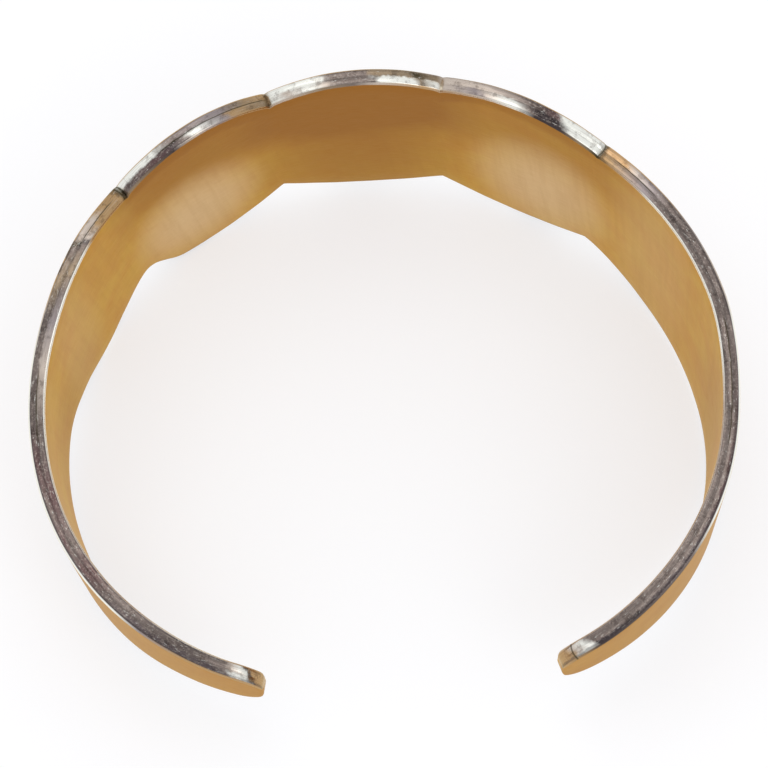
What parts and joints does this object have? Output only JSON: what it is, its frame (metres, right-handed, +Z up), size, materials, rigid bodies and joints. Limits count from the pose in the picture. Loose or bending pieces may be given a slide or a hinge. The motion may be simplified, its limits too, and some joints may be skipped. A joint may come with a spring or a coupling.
{
  "type": "cuff bracelet",
  "caption": "Open metal cuff bracelet with a scalloped front of shallow lobes, tapered shanks and small rounded tips, lying on its side.",
  "frame": {"origin": "centre of the bounding box, on the surface that the cuff lies on", "axes": "+Z up from the surface that the cuff lies on, +Y towards the scalloped front, -Y towards the gap, +X along its greatest width"},
  "size_m": [0.0628, 0.0544, 0.0271],
  "materials": {
    "silver": "satin faces, worn and stained polished edge"
  },
  "bodies": {
    "root": {"cuff_band": "silver"}
  },
  "joints": []
}
